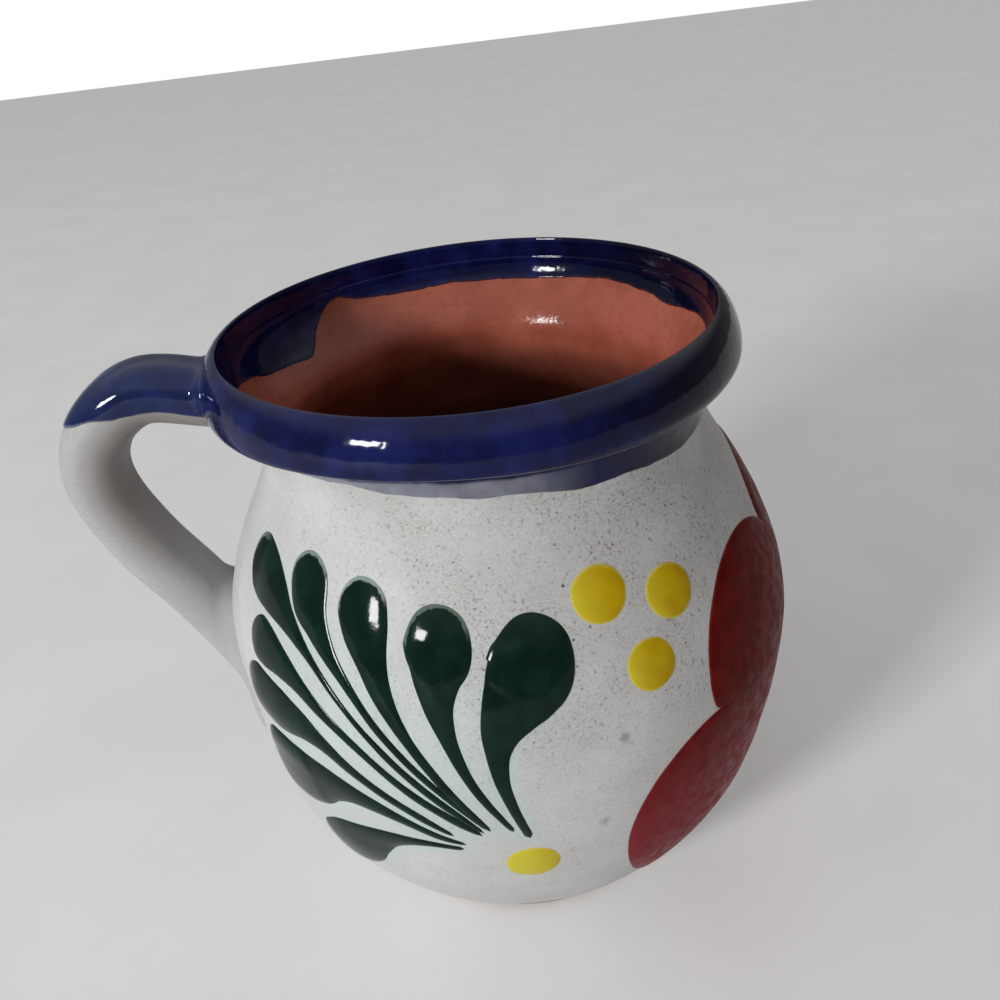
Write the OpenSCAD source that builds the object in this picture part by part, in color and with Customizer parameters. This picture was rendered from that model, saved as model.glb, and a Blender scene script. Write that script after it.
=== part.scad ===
// Jarrito: a pot-bellied clay mug with a rolled blue rim, a pulled strap handle and brush-painted decoration.
// Sizes are in millimetres and angles in degrees. Z is up, the foot stands on Z = 0 and the handle points
// along -X. Every coat, stroke and dot is a thin solid of its own that lies on the one beneath it.

/* [Pot] */
// Height from the table to the crest of the rim
pot_h = 109; // [100:0.5:120]
// Width of the flat foot
foot_d = 57; // [50:0.5:64]
// Width of the belly at its widest
belly_d = 101.4; // [94:0.2:110]
// Height of the widest place of the belly
belly_z = 54; // [48:0.5:60]
// Width of the neck at its waist
neck_d = 74.8; // [68:0.2:79]
// Depth of the neck's waist below the crease under the rim
neck_drop = 7; // [5:0.5:10]
// Thickness of the wall, measured level
wall_t = 4; // [3:0.1:5]
// Thickness of the floor
floor_t = 6; // [4:0.2:9]
// Height of the round corner between the floor and the inside of the wall
bowl_h = 10; // [6:0.5:14]

/* [Rim] */
// How far the rolled rim stands out beyond the waist of the neck
rim_out = 5.8; // [4.5:0.1:8]
// Height of the rolled rim, from the crease under it to its crest
rim_h = 10; // [9:0.1:11]
// How far the ring that the crest draws lies inside the edge of the rim
crest_in = 2.2; // [1.6:0.1:3]
// Height of the rounded top of the rim
crest_h = 3.6; // [2.5:0.1:4.5]
// Thickness of the lip from its crest inwards
lip_t = 1.9; // [1.5:0.1:2.5]
// Radius of the rounded lower edge of the rim
roll_r = 3; // [2:0.1:3.5]
// How far the neck opens out again between its waist and the rim
neck_flare = 0.8; // [0.4:0.1:1.5]

/* [Coats] */
// Thickness of the slip and of the glazes
coat_t = 0.4; // [0.3:0.05:0.6]
// Height of the bare clay edge round the foot
bare_h = 1.6; // [1:0.1:3]
// Width of the worn edge under the foot
foot_edge = 0.8; // [0.4:0.1:0.9]
// Depth of the blue glaze on the neck, below the crease of the rim
blue_drop = 4.2; // [3:0.2:8]
// Depth of the blue glaze inside, below the crest
blue_inside = 7.5; // [5:0.5:12]

/* [Handle] */
// How far the middle of the strap stands out beyond the belly
handle_out = 15.8; // [14:0.1:22]
// Depth of the strap's upper end below the crest of the rim
handle_drop = 8.6; // [7:0.1:11]
// Height of the strap's lower end
handle_low_z = 46; // [40:0.5:52]
// Thickness of the strap, across the finger gap
strap_t = 10.8; // [9:0.1:13]
// Thickness of the strap's upper arm, as a share of the thickness in the bow
slim_share = 0.88; // [0.8:0.01:1]
// Width of the strap
strap_w = 12.6; // [11:0.1:16]
// How much each side of the strap spreads at the joins
join_spread = 1.3; // [0:0.1:3]
// How far along the strap the blue glaze reaches, as a share of its length
blue_reach_share = 0.39; // [0.3:0.01:0.6]

/* [Painting] */
// Height of the waist that the painting is drawn for; on a lower pot it is drawn smaller
spray_h = 92; // [80:0.5:110]
// Thickness of the raised paint at the middle of a stroke
paint_t = 0.5; // [0.3:0.05:0.8]
// Thickness of the paint at its edge
paint_edge_t = 0.15; // [0.1:0.05:0.3]
// Clearance between the paint and the slip
paint_gap = 0.05; // [0.02:0.01:0.1]
// Width of the broadest leaf
leaf_w = 12.2; // [9:0.1:13]
// Length of the longest leaf head
leaf_head_l = 35; // [28:0.5:38]
// Width of the broadest leaf tail
leaf_tail_w = 4; // [2:0.1:4.4]
// Width of a yellow dot
dot_d = 8; // [6:0.2:10]
// Width of the eye of the flower
eye_d = 17; // [12:0.5:22]
// Height of the middle of the flower
flower_z = 50; // [46:0.5:54]
// Reach of the lowest petals from the middle of the flower, down the wall
petal_l = 68; // [50:1:70]
// Reach of the lowest petals in degrees, if they grew level round the pot
petal_angle = 77; // [60:1:80]
// Clearance between neighbouring petals
petal_gap = 0.5; // [0.3:0.1:1.5]

/* [Hidden] */
$fn = 96;

// Colours of the clay, the slip, the glazes and the paints
clay_color = [0.60, 0.30, 0.20];
slip_color = [0.80, 0.79, 0.76];
blue_color = [0.05, 0.08, 0.35];
liner_color = [0.55, 0.24, 0.15];
green_color = [0.04, 0.20, 0.13];
yellow_color = [0.83, 0.70, 0.08];
red_color = [0.45, 0.06, 0.09];

// Half widths and heights that follow from the sizes above
foot_r = foot_d / 2;
belly_r = belly_d / 2;
neck_r = neck_d / 2;
rim_r = neck_r + rim_out;
crest_r = rim_r - crest_in;
crease_z = pot_h - rim_h;
crease_r = neck_r + neck_flare;
crest_z = pot_h - crest_h;
neck_z = crease_z - neck_drop;
blue_z = crease_z - blue_drop;
blue_in_z = pot_h - blue_inside;
bowl_z = floor_t + bowl_h;

// Numbers of steps along the profile, the strap and the strokes
wall_steps = 26;
neck_steps = 6;
arc_steps = 6;
flare_steps = 6;
bowl_steps = 6;
strap_steps = 5;
strap_sides = 20;
dot_steps = 10;
petal_steps = [12, 12, 16, 12];
petal_rings = [6, 9, 12, 6];
across_shares = [-1, -0.75, -0.35, 0.35, 0.75, 1];

// Swell of the wall from the foot to the belly: share of the height, share of the gain in radius
swell_shares = [[0, 0], [0.074, 0.142], [0.222, 0.434], [0.444, 0.748], [0.667, 0.9], [0.85, 0.975], [1, 1]];
// Draw-in of the wall from the belly to the waist, in the same way
shoulder_shares = [[0.158, 0.046], [0.368, 0.217], [0.579, 0.482], [0.789, 0.807], [0.87, 0.925], [1, 1]];

// Heights and radii that the outside passes through, from the foot to the crease under the rim
outside = concat(
    [for (s = swell_shares) [s[0] * belly_z, foot_r + s[1] * (belly_r - foot_r)]],
    [for (s = shoulder_shares) [belly_z + s[0] * (neck_z - belly_z), belly_r - s[1] * (belly_r - neck_r)]],
    [[crease_z, crease_r]]
);

// Smooth curve through a table of [place, value] pairs
function rise(p, i) = (p[i + 1][1] - p[i][1]) / (p[i + 1][0] - p[i][0]);
function slope(p, i) =
    i == 0 ? rise(p, 0)
    : i == len(p) - 1 ? rise(p, i - 1)
    : (rise(p, i - 1) * (p[i + 1][0] - p[i][0]) + rise(p, i) * (p[i][0] - p[i - 1][0]))
        / (p[i + 1][0] - p[i - 1][0]);
function span(p, x, i = 0) = i >= len(p) - 2 || x <= p[i + 1][0] ? i : span(p, x, i + 1);
function curve(p, x) =
    let (i = span(p, x), h = p[i + 1][0] - p[i][0], t = (x - p[i][0]) / h)
    p[i][1] * (1 + 2 * t) * pow(1 - t, 2) + slope(p, i) * h * t * pow(1 - t, 2)
        + p[i + 1][1] * t * t * (3 - 2 * t) + slope(p, i + 1) * h * t * t * (t - 1);
function mix(a, b, t) = a + (b - a) * t;
function ease(t) = t * t * (3 - 2 * t);
function backwards(list) = [for (i = [len(list) - 1:-1:0]) list[i]];

// Radius of the finished outside and inside at a height
function out_r(z) = curve(outside, z);
function in_r(z) =
    z <= neck_z ? out_r(z) - wall_t
    : mix(neck_r - wall_t, crest_r - lip_t, ease((z - neck_z) / (crest_z - neck_z)));

// Stretches of the profile, each with the finished line cut back by a depth into the clay
function wall_line(low, high, steps, depth) =
    [for (i = [0:steps]) let (z = mix(low, high, i / steps)) [out_r(z) - depth, z]];
function rim_line(depth) = concat(
    [for (a = [0:arc_steps]) let (t = 90 * a / arc_steps - 90)
        [rim_r - roll_r + (roll_r - depth) * cos(t), crease_z + roll_r + (roll_r - depth) * sin(t)]],
    [for (a = [0:arc_steps]) let (t = 90 * a / arc_steps)
        [crest_r + (rim_r - crest_r - depth) * cos(t), crest_z + (crest_h - depth) * sin(t)]],
    [for (a = [1:arc_steps]) let (t = 90 * a / arc_steps)
        [crest_r - (lip_t - depth) * sin(t), crest_z + (crest_h - depth) * cos(t)]]
);
function inner_line(high, low, steps, depth) =
    [for (i = [0:steps]) let (z = mix(high, low, i / steps)) [in_r(z) + depth, z]];
function bowl_line(depth) =
    [for (a = [1:bowl_steps]) let (t = 90 * a / bowl_steps)
        [(in_r(bowl_z) + depth) * sqrt(max(cos(t), 0)), bowl_z - (bowl_h + depth) * sin(t)]];

function slip_line(depth) = wall_line(bare_h, blue_z, wall_steps, depth);
function blue_line(depth) = concat(
    wall_line(blue_z, crease_z, neck_steps, depth),
    rim_line(depth),
    inner_line(crest_z, blue_in_z, flare_steps, depth)
);
function liner_line(depth) = concat(inner_line(blue_in_z, bowl_z, wall_steps, depth), bowl_line(depth));
function drop_first(list) = [for (i = [1:len(list) - 1]) list[i]];

module coat(line_out, line_in) {
    rotate_extrude() polygon(concat(line_out, backwards(line_in)));
}

// The pot, thrown in one piece: foot, wall, neck and rolled rim
module clay_body() {
    color(clay_color) rotate_extrude() polygon(concat(
        [[0, 0], [foot_r - foot_edge, 0], [out_r(foot_edge), foot_edge], [out_r(bare_h), bare_h]],
        slip_line(coat_t),
        drop_first(blue_line(coat_t)),
        drop_first(liner_line(coat_t))
    ));
}

// Pale slip over the outside, from the bare foot edge to the blue of the neck
module slip_coat() {
    color(slip_color) coat(slip_line(0), slip_line(coat_t));
}

// Blue glaze over the rim, outside and inside
module rim_glaze() {
    color(blue_color) coat(blue_line(0), blue_line(coat_t));
}

// Clear glaze that lines the inside
module inner_glaze() {
    color(liner_color) coat(liner_line(0), liner_line(coat_t));
}

// The space that the finished pot takes, cut out of what is luted to it
module pot_space() {
    rotate_extrude() polygon(concat(
        [[0, 0], [foot_r, 0]],
        drop_first(wall_line(0, crease_z, wall_steps + neck_steps, 0)),
        [for (p = rim_line(0)) if (p[0] >= crest_r) p],
        [[0, pot_h]]
    ));
}

// Path of the strap: distances from the pot's axis as shares of the way to the farthest place, which is
// the middle of the strap's bow, and heights as shares of the drop from the upper to the lower end
upper_path_shares = [[0, 0.02], [0.262, 0], [0.642, -0.036], [0.913, 0.07], [1, 0.235]];
lower_path_shares = [[0.8, 0.449], [0.38, 0.697], [0, 0.956], [-0.3, 1.16]];
bow_r = belly_r + handle_out;
handle_top_z = pot_h - handle_drop;
upper_root_r = neck_r - wall_t / 2;
lower_root_r = out_r(handle_low_z) - wall_t / 2;
function path_z(share) = mix(handle_top_z, handle_low_z, share);
path = concat(
    [for (s = upper_path_shares) [mix(upper_root_r, bow_r, s[0]), path_z(s[1])]],
    [for (s = lower_path_shares) [mix(lower_root_r, bow_r, s[0]), path_z(s[1])]]
);
path_spans = len(path) - 1;
ring_count = path_spans * strap_steps;

// Place and direction on the path at a ring's number
function path_slope(i) =
    (path[min(i + 1, path_spans)] - path[max(i - 1, 0)]) / (i == 0 || i == path_spans ? 1 : 2);
function path_at(k) =
    let (i = min(floor(k / strap_steps), path_spans - 1), t = k / strap_steps - i)
    path[i] * (1 + 2 * t) * pow(1 - t, 2) + path_slope(i) * t * pow(1 - t, 2)
        + path[i + 1] * t * t * (3 - 2 * t) + path_slope(i + 1) * t * t * (t - 1);
way_share = 0.05;
function way(k) =
    let (d = path_at(min(k + way_share, ring_count)) - path_at(max(k - way_share, 0)))
    d / norm(d);

// Rings where the strap proper starts and ends; what lies beyond them is the luted joins
upper_cut_ring = 9;
lower_cut_ring = 32;
function spread(k) =
    k < upper_cut_ring ? join_spread * pow(1 - k / upper_cut_ring, 2)
    : k > lower_cut_ring ? join_spread * pow((k - lower_cut_ring) / (ring_count - lower_cut_ring), 2)
    : 0;

// The upper arm is slimmer than the bow, which is four spans down the path
bow_ring = 4 * strap_steps;
function slim(k) = mix(slim_share, 1, ease(min(k / bow_ring, 1)));

// Point of the strap's skin: ring number, angle round the strap from its outer side, depth below the skin.
// The section is a rounded oblong, so its sides and corners bulge a little.
oblong_power_share = 0.8;
function bulge(x) = sign(x) * pow(abs(x), oblong_power_share);
function strap_point(k, turn, depth) =
    let (
        p = path_at(k),
        d = way(k),
        half_t = strap_t / 2 * slim(k) + spread(k) - depth,
        half_w = strap_w / 2 + spread(k) - depth,
        out = bulge(cos(turn)) * half_t,
        side = bulge(sin(turn)) * half_w
    )
    [-(p[0] - d[1] * out), -side, p[1] + d[0] * out];
function strap_ring(k, depth) =
    [for (s = [0:strap_sides - 1]) strap_point(k, 360 * s / strap_sides, depth)];

// Closed tube through a list of rings
module tube(rings) {
    sides = len(rings[0]);
    last = len(rings) - 1;
    polyhedron(
        points = [for (r = rings, p = r) p],
        faces = concat(
            [[for (s = [0:sides - 1]) s]],
            [for (r = [0:last - 1], s = [0:sides - 1]) let (n = (s + 1) % sides)
                each [[r * sides + s, (r + 1) * sides + s, (r + 1) * sides + n],
                      [r * sides + s, (r + 1) * sides + n, r * sides + n]]],
            [[for (s = [sides - 1:-1:0]) last * sides + s]]
        ),
        convexity = 6
    );
}

// Closed hollow skin between two lists of rings
module sleeve(outer_rings, inner_rings) {
    sides = len(outer_rings[0]);
    last = len(outer_rings) - 1;
    inner_start = (last + 1) * sides;
    polyhedron(
        points = concat([for (r = outer_rings, p = r) p], [for (r = inner_rings, p = r) p]),
        faces = concat(
            [for (r = [0:last - 1], s = [0:sides - 1]) let (n = (s + 1) % sides, a = r * sides, b = a + sides)
                each [[a + s, b + s, b + n], [a + s, b + n, a + n]]],
            [for (r = [0:last - 1], s = [0:sides - 1])
                let (n = (s + 1) % sides, a = inner_start + r * sides, b = a + sides)
                each [[a + s, b + n, b + s], [a + s, a + n, b + n]]],
            [for (s = [0:sides - 1]) let (n = (s + 1) % sides)
                each [[s, n, inner_start + n], [s, inner_start + n, inner_start + s]]],
            [for (s = [0:sides - 1])
                let (n = (s + 1) % sides, a = last * sides, b = inner_start + last * sides)
                each [[a + s, b + n, a + n], [a + s, b + s, b + n]]]
        ),
        convexity = 8
    );
}

// Closed thin patch between an upper and a lower grid of points, rows by columns
module patch(top, under) {
    rows = len(top);
    cols = len(top[0]);
    low = rows * cols;
    edge = concat(
        [for (c = [0:cols - 2]) c],
        [for (r = [0:rows - 2]) r * cols + cols - 1],
        [for (c = [cols - 1:-1:1]) (rows - 1) * cols + c],
        [for (r = [rows - 1:-1:1]) r * cols]
    );
    polyhedron(
        points = concat([for (r = top, p = r) p], [for (r = under, p = r) p]),
        faces = concat(
            [for (r = [0:rows - 2], c = [0:cols - 2]) let (a = r * cols + c, b = a + cols)
                each [[a, b, b + 1], [a, b + 1, a + 1]]],
            [for (r = [0:rows - 2], c = [0:cols - 2]) let (a = low + r * cols + c, b = a + cols)
                each [[a, b + 1, b], [a, a + 1, b + 1]]],
            [for (i = [0:len(edge) - 1]) let (a = edge[i], b = edge[(i + 1) % len(edge)])
                each [[a, b, low + b], [a, low + b, low + a]]]
        ),
        convexity = 4
    );
}

// The pulled strap between its joins
module handle_strap() {
    color(clay_color) tube([for (k = [upper_cut_ring:lower_cut_ring]) strap_ring(k, coat_t)]);
}

// Clay luted on where the strap meets the rim and the neck
module upper_join() {
    color(clay_color) difference() {
        tube([for (k = [0:upper_cut_ring]) strap_ring(k, coat_t)]);
        pot_space();
    }
}

// Clay smeared on where the strap runs out over the belly
module lower_join() {
    color(clay_color) difference() {
        tube([for (k = [lower_cut_ring:ring_count]) strap_ring(k, coat_t)]);
        pot_space();
    }
}

// Pale slip round the strap and its joins
module handle_slip() {
    color(slip_color) difference() {
        sleeve(
            [for (k = [0:ring_count]) strap_ring(k, 0)],
            [for (k = [0:ring_count]) strap_ring(k, coat_t)]
        );
        pot_space();
    }
}

// Blue glaze over the back and sides of the upper arm; the underside stays pale. The glaze was dipped on at
// a slant, so it ends a few rings earlier at the sides. The angle is how far round each side it reaches.
blue_angle = 105;
blue_columns = 14;
blue_rows = 16;
blue_slant_rings = 5.1;
blue_slant_power_share = 2.5;
function blue_end(side) =
    ring_count * blue_reach_share - blue_slant_rings * pow(abs(side), blue_slant_power_share);
function blue_grid(depth) =
    [for (r = [0:blue_rows]) [for (c = [0:blue_columns]) let (side = 2 * c / blue_columns - 1)
        strap_point(blue_end(side) * r / blue_rows, blue_angle * side, depth)]];
module handle_glaze() {
    color(blue_color) difference() {
        patch(blue_grid(-coat_t), blue_grid(-paint_gap));
        pot_space();
    }
}

// Point on the finished belly at an angle round the pot and a height, lifted off the slip
function on_pot(turn, z, lift) =
    let (r = out_r(z) + lift)
    [r * cos(turn), r * sin(turn), z];
// Thickness of the paint at a place that runs from -1 over 0, the middle, to 1
function paint_lift(place) = paint_gap + mix(paint_edge_t, paint_t, sqrt(max(1 - place * place, 0)));

// Leaves of the spray, from the highest to the lowest on the handle's side. Each has the angles of its tip,
// its two bends and its tail round the pot, the same four heights as shares of the waist's height, and the
// widths and head length as shares of the broadest and longest
leaf_angles = [
    [203, 205, 242, 260],
    [223, 221, 247, 261],
    [238, 241, 244, 261],
    [254, 256, 253, 265],
    [271.5, 277, 258, 268],
    [209, 218, 222, 259],
    [207, 230, 241, 254],
    [212, 221, 243, 256],
    [224, 230, 238, 255]
];
leaf_height_shares = [
    [0.89, 0.8, 0.81, 0.46],
    [0.91, 0.84, 0.7, 0.46],
    [0.89, 0.79, 0.77, 0.47],
    [0.87, 0.78, 0.71, 0.47],
    [0.85, 0.73, 0.78, 0.45],
    [0.77, 0.69, 0.8, 0.46],
    [0.65, 0.66, 0.57, 0.45],
    [0.495, 0.54, 0.465, 0.43],
    [0.36, 0.32, 0.39, 0.41]
];
leaf_width_shares = [0.66, 0.57, 0.66, 0.82, 1, 0.57, 0.66, 0.9, 0.85];
leaf_head_shares = [1, 0.67, 0.6, 0.65, 0.9, 0.9, 0.64, 0.65, 0.6];
leaf_tail_shares = [0.4, 0.4, 0.8, 0.75, 1, 0.85, 0.8, 0.7, 0.7];
// Width of a leaf along its head: share of the head's length, share of the leaf's width
head_shares = [[0, 0.2], [0.06, 0.5], [0.16, 0.8], [0.35, 1], [0.55, 0.93], [0.8, 0.5], [1, 0]];
stroke_shares = [0, 0.02, 0.05, 0.1, 0.16, 0.22, 0.29, 0.36, 0.44, 0.54, 0.66, 0.78, 0.89, 0.96, 1];

function bend(p, t) =
    p[0] * pow(1 - t, 3) + 3 * p[1] * t * pow(1 - t, 2) + 3 * p[2] * t * t * (1 - t) + p[3] * pow(t, 3);
function degree_l(z) = out_r(z) * PI / 180;
draw_share = neck_z / spray_h;
function leaf_spot(n, t) = [bend(leaf_angles[n], t), neck_z * bend(leaf_height_shares[n], t)];
function leaf_step(n, a, b) =
    let (p = leaf_spot(n, a), q = leaf_spot(n, b))
    [(q[0] - p[0]) * degree_l(p[1]), q[1] - p[1]];
leaf_chord_count = 12;
leaf_way_share = 0.02;
tail_end_share = 0.15;
tail_power_share = 5;
function leaf_l(n, i = 0) =
    i == leaf_chord_count ? 0
    : norm(leaf_step(n, i / leaf_chord_count, (i + 1) / leaf_chord_count)) + leaf_l(n, i + 1);
function tail_half(n, t) =
    leaf_tail_w / 2 * leaf_tail_shares[n] * mix(1, tail_end_share, pow(t, tail_power_share));
function leaf_half(n, t) =
    let (
        place = leaf_l(n) * t / (leaf_head_l * draw_share * leaf_head_shares[n]),
        head = place < 1 ? curve(head_shares, place) : 0
    )
    draw_share * max(leaf_w / 2 * leaf_width_shares[n] * head, min(1, place) * tail_half(n, t));
function leaf_point(n, t, side, lift) =
    let (
        p = leaf_spot(n, t),
        d = leaf_step(n, max(t - leaf_way_share, 0), min(t + leaf_way_share, 1)),
        off = [-d[1], d[0]] / norm(d) * leaf_half(n, t) * side
    )
    on_pot(p[0] + off[0] / degree_l(p[1]), p[1] + off[1], lift);

module leaf(n) {
    color(green_color) patch(
        [for (t = stroke_shares) [for (s = across_shares) leaf_point(n, t, -s, paint_lift(s))]],
        [for (t = stroke_shares) [for (s = across_shares) leaf_point(n, t, -s, paint_gap)]]
    );
}
module back_leaf(n) {
    mirror([0, 1, 0]) leaf(n);
}

// Angles round the pot, and heights as shares of the waist's height, of the yellow dots
dot_angles = [287, 301.5, 293.5, 268];
dot_height_shares = [0.85, 0.815, 0.73, 0.37];
dot_tall_share = 0.96;
dot_end_share = 0.97;
function dot_point(n, along, across, lift) =
    let (
        dot_r = draw_share * dot_d / 2,
        z = neck_z * dot_height_shares[n] + dot_r * dot_tall_share * along,
        half = dot_r * sqrt(max(1 - along * along, 0))
    )
    on_pot(dot_angles[n] + half * across / degree_l(z), z, lift);
function dot_rows() = [for (i = [0:dot_steps]) dot_end_share * sin(mix(-90, 90, i / dot_steps))];
module dot(n) {
    color(yellow_color) patch(
        [for (a = dot_rows()) [for (s = across_shares)
            dot_point(n, -a, s, paint_lift(max(abs(a), abs(s))))]],
        [for (a = dot_rows()) [for (s = across_shares) dot_point(n, -a, s, paint_gap)]]
    );
}
module yellow_dots() {
    for (n = [0:len(dot_angles) - 1]) dot(n);
}
module back_yellow_dots() {
    mirror([0, 1, 0]) yellow_dots();
}

// The flower opposite the handle, drawn flat round its middle and laid on the belly. The notches between
// petals stand at these angles round its middle, and each petal reaches a share of the longest reach. They
// are the top petal, an upper and a lower one on the near side, and the bottom one; the upper and the lower
// one stand on the far side again. The power says how full a petal's outline is, and the lean moves its
// farthest place along the outline.
notch_angles = [52, 128, 175, 240, 300];
notch_shares = [0.4, 0.4, 0.68, 0.48, 0.48];
petal_shares = [0.46, 0.735, 1, 0.5];
petal_power_shares = [0.5, 0.3, 0.65, 0.5];
petal_lean_shares = [1, 2.7, 0.82, 1];
// Extra clearance under a petal, which keeps its wide flat facets off the round belly
petal_sag = 0.15;
function flower_turn(across) = across * petal_angle / petal_l;
function petal_reach(n, t) =
    let (
        base = mix(notch_shares[n], notch_shares[n + 1], t),
        full = pow(sin(180 * pow(t, petal_lean_shares[n])), petal_power_shares[n])
    )
    petal_l * (base + (petal_shares[n] - base) * full);
function petal_point(n, t, ring, lift) =
    let (
        near = eye_d / 2 + petal_gap,
        reach = mix(near, petal_reach(n, t), ring),
        side = petal_gap / 2 / reach * 180 / PI,
        a = mix(notch_angles[n] + side, notch_angles[n + 1] - side, t),
        z = draw_share * (flower_z + reach * sin(a))
    )
    on_pot(flower_turn(reach * cos(a)), z, lift);
module petal(n) {
    color(red_color) patch(
        [for (r = [0:petal_rings[n]]) [for (i = [0:petal_steps[n]])
            let (t = i / petal_steps[n], ring = r / petal_rings[n])
            petal_point(n, t, ring, petal_sag + paint_lift(max(abs(2 * t - 1), ring)))]],
        [for (r = [0:petal_rings[n]]) [for (i = [0:petal_steps[n]])
            let (t = i / petal_steps[n], ring = r / petal_rings[n])
            petal_point(n, t, ring, petal_sag + paint_gap)]]
    );
}

module back_petal(n) {
    mirror([0, 1, 0]) petal(n);
}

// Yellow eye in the middle of the flower
function eye_point(along, across, lift) =
    let (
        z = draw_share * (flower_z + eye_d / 2 * along),
        half = eye_d / 2 * sqrt(max(1 - along * along, 0))
    )
    on_pot(flower_turn(half * across), z, lift);
module flower_eye() {
    color(yellow_color) patch(
        [for (a = dot_rows()) [for (s = across_shares) eye_point(-a, s, paint_lift(max(abs(a), abs(s))))]],
        [for (a = dot_rows()) [for (s = across_shares) eye_point(-a, s, paint_gap)]]
    );
}

clay_body();
slip_coat();
rim_glaze();
inner_glaze();
handle_strap();
upper_join();
lower_join();
handle_slip();
handle_glaze();
leaf(0);  // leaf_1
leaf(1);  // leaf_2
leaf(2);  // leaf_3
leaf(3);  // leaf_4
leaf(4);  // leaf_5
leaf(5);  // leaf_6
leaf(6);  // leaf_7
leaf(7);  // leaf_8
leaf(8);  // leaf_9
back_leaf(0);  // back_leaf_1
back_leaf(1);  // back_leaf_2
back_leaf(2);  // back_leaf_3
back_leaf(3);  // back_leaf_4
back_leaf(4);  // back_leaf_5
back_leaf(5);  // back_leaf_6
back_leaf(6);  // back_leaf_7
back_leaf(7);  // back_leaf_8
back_leaf(8);  // back_leaf_9
yellow_dots();
back_yellow_dots();
petal(0);  // petal_top
petal(1);  // petal_upper
petal(2);  // petal_lower
petal(3);  // petal_bottom
back_petal(1);  // back_petal_upper
back_petal(2);  // back_petal_lower
flower_eye();
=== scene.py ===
import math
from bisect import bisect
from collections import namedtuple

import bmesh
import bpy
from mathutils import Euler, Matrix, Vector, noise


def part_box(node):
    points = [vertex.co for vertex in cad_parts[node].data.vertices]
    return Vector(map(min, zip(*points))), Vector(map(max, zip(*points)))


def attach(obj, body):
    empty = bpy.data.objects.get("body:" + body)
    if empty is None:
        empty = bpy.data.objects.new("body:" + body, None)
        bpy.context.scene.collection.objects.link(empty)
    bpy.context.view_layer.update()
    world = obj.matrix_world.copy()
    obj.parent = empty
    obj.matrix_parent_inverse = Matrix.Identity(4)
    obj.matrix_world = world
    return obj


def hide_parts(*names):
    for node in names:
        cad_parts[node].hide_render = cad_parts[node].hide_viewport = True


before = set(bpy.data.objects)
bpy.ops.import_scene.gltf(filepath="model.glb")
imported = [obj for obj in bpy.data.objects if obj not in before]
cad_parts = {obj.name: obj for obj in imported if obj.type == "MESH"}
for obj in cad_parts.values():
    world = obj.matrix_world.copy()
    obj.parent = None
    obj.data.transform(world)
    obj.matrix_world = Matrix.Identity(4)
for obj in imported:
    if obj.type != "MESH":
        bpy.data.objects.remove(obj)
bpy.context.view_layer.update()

# The frame is in metres. Shapes below are worked out in millimetres, and turns in degrees round the pot
# from +X
MM = 0.001

# Degrees past which an edge stays sharp, a short step, and how near the axis a point is left as it is
sharp_angle = 55
hair = 0.01
axis_r = 0.1


def edge_of(node, corner, axis):
    """Lowest (corner 0) or highest (corner 1) place of a CAD node along an axis, in millimetres."""
    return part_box(node)[corner][axis] / MM


# Sizes of the pot that the frame gives
pot_h = edge_of("rim_glaze", 1, 2)
rim_r = edge_of("rim_glaze", 1, 0)
belly_r = edge_of("slip_coat", 1, 0)
bare_h = edge_of("slip_coat", 0, 2)
blue_z = edge_of("rim_glaze", 0, 2)
blue_in_z = edge_of("inner_glaze", 1, 2)

# Sizes of the pot that its maker gave it
foot_r = 28.5
belly_z = 54
neck_r = 37.4
neck_flare = 0.8
wall_t = 4
floor_t = 6
bowl_h = 10
rim_h = 10
neck_drop = 7
roll_r = 3
crest_in = 3.6
crest_h = 3.6
lip_t = 0.5
bead_power = 1.7
coat_t = 0.4
crease_z = pot_h - rim_h
crest_z = pot_h - crest_h
crest_r = rim_r - crest_in
widest_z = crease_z + roll_r
neck_z = crease_z - neck_drop
bowl_z = floor_t + bowl_h

# Swell of the wall from the foot to the belly, and its draw-in from there to the waist of the neck: share
# of the height, share of the gain or loss in radius
SWELL = [(0, 0), (0.074, 0.142), (0.222, 0.434), (0.444, 0.748), (0.667, 0.9), (0.85, 0.975), (1, 1)]
SHOULDER = [(0.158, 0.046), (0.368, 0.217), (0.579, 0.482), (0.789, 0.807), (0.87, 0.925), (1, 1)]

# What the hand left: slow waves out of round, throwing rings, the rim drawn out towards the handle, its
# crease drawn up at the front, and a shallow flat beside the handle's lower end
out_of_round = 0.15
wave_h = 32
ring_depth = 0.07
ring_gap = 3.2
inner_ring_depth = 0.16
rim_pull = 1.8
crease_rise = 1.3
crease_turn = 250
crease_span = 36
crease_reach = 4
flat_depth = 1.2
flat_turn = 196
flat_span = 24
flat_z = 50
flat_h = 11


def mix(a, b, share):
    return a + (b - a) * share


def clamp(value, low=0, high=1):
    return min(max(value, low), high)


def ease(share):
    share = clamp(share)
    return share * share * (3 - 2 * share)


def steps_between(a, b, count):
    """Evenly spaced values from a to b, both ends included."""
    return [mix(a, b, i / count) for i in range(count + 1)]


def smooth_line(table):
    """A smooth curve through a table of (place, value) pairs, as a function of the place."""
    places = [place for place, _ in table]
    rises = [(b[1] - a[1]) / (b[0] - a[0]) for a, b in zip(table, table[1:])]
    slopes = [rises[0]]
    for i in range(1, len(table) - 1):
        before = places[i] - places[i - 1]
        after = places[i + 1] - places[i]
        slopes.append((rises[i - 1] * after + rises[i] * before) / (before + after))
    slopes.append(rises[-1])

    def at(place):
        i = clamp(bisect(places, place) - 1, 0, len(table) - 2)
        gap = places[i + 1] - places[i]
        t = (place - places[i]) / gap
        left = table[i][1] * (1 + 2 * t) + slopes[i] * gap * t
        right = table[i + 1][1] * (3 - 2 * t) + slopes[i + 1] * gap * (t - 1)
        return left * (1 - t) ** 2 + right * t * t

    return at


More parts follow.
